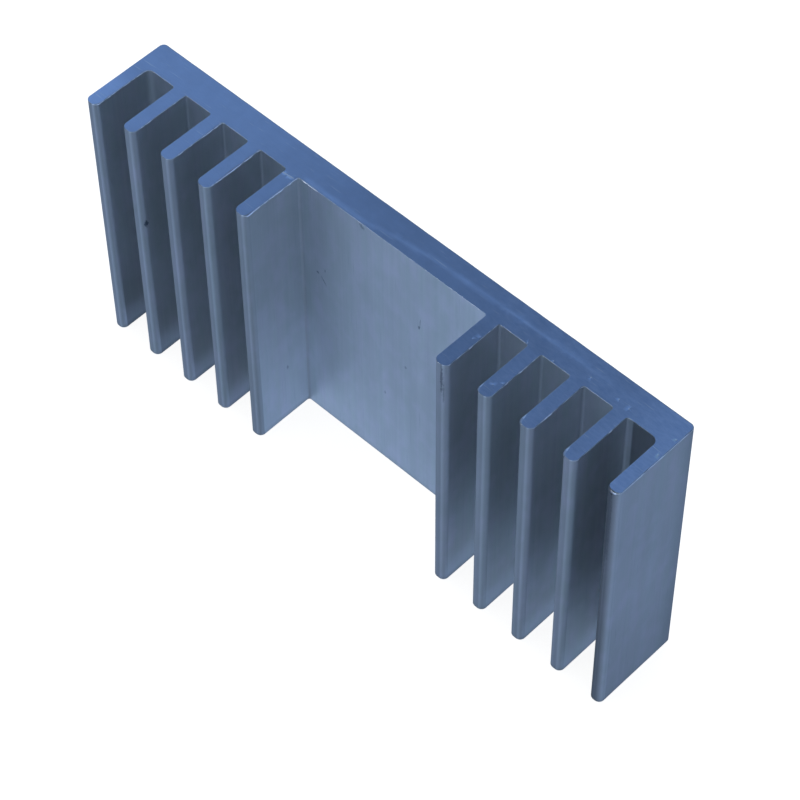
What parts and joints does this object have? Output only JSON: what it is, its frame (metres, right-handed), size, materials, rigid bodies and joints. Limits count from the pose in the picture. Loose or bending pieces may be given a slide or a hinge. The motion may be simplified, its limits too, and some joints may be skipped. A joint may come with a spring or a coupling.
{
  "type": "heat sink",
  "caption": "Extruded aluminium heat sink: flat base plate with straight fins along both ends and a clear bay between them for the device.",
  "frame": {"origin": "centre of the outline of the lower sawn end, on the surface it stands on", "axes": "+X along the base plate, +Y out of the plain rear face, +Z along the extrusion and up"},
  "size_m": [0.1, 0.0154, 0.05],
  "materials": {
    "aluminium": "mill finish with extrusion lines, saw-cut ends"
  },
  "bodies": {
    "root": {"heat_sink": "aluminium"}
  },
  "joints": []
}
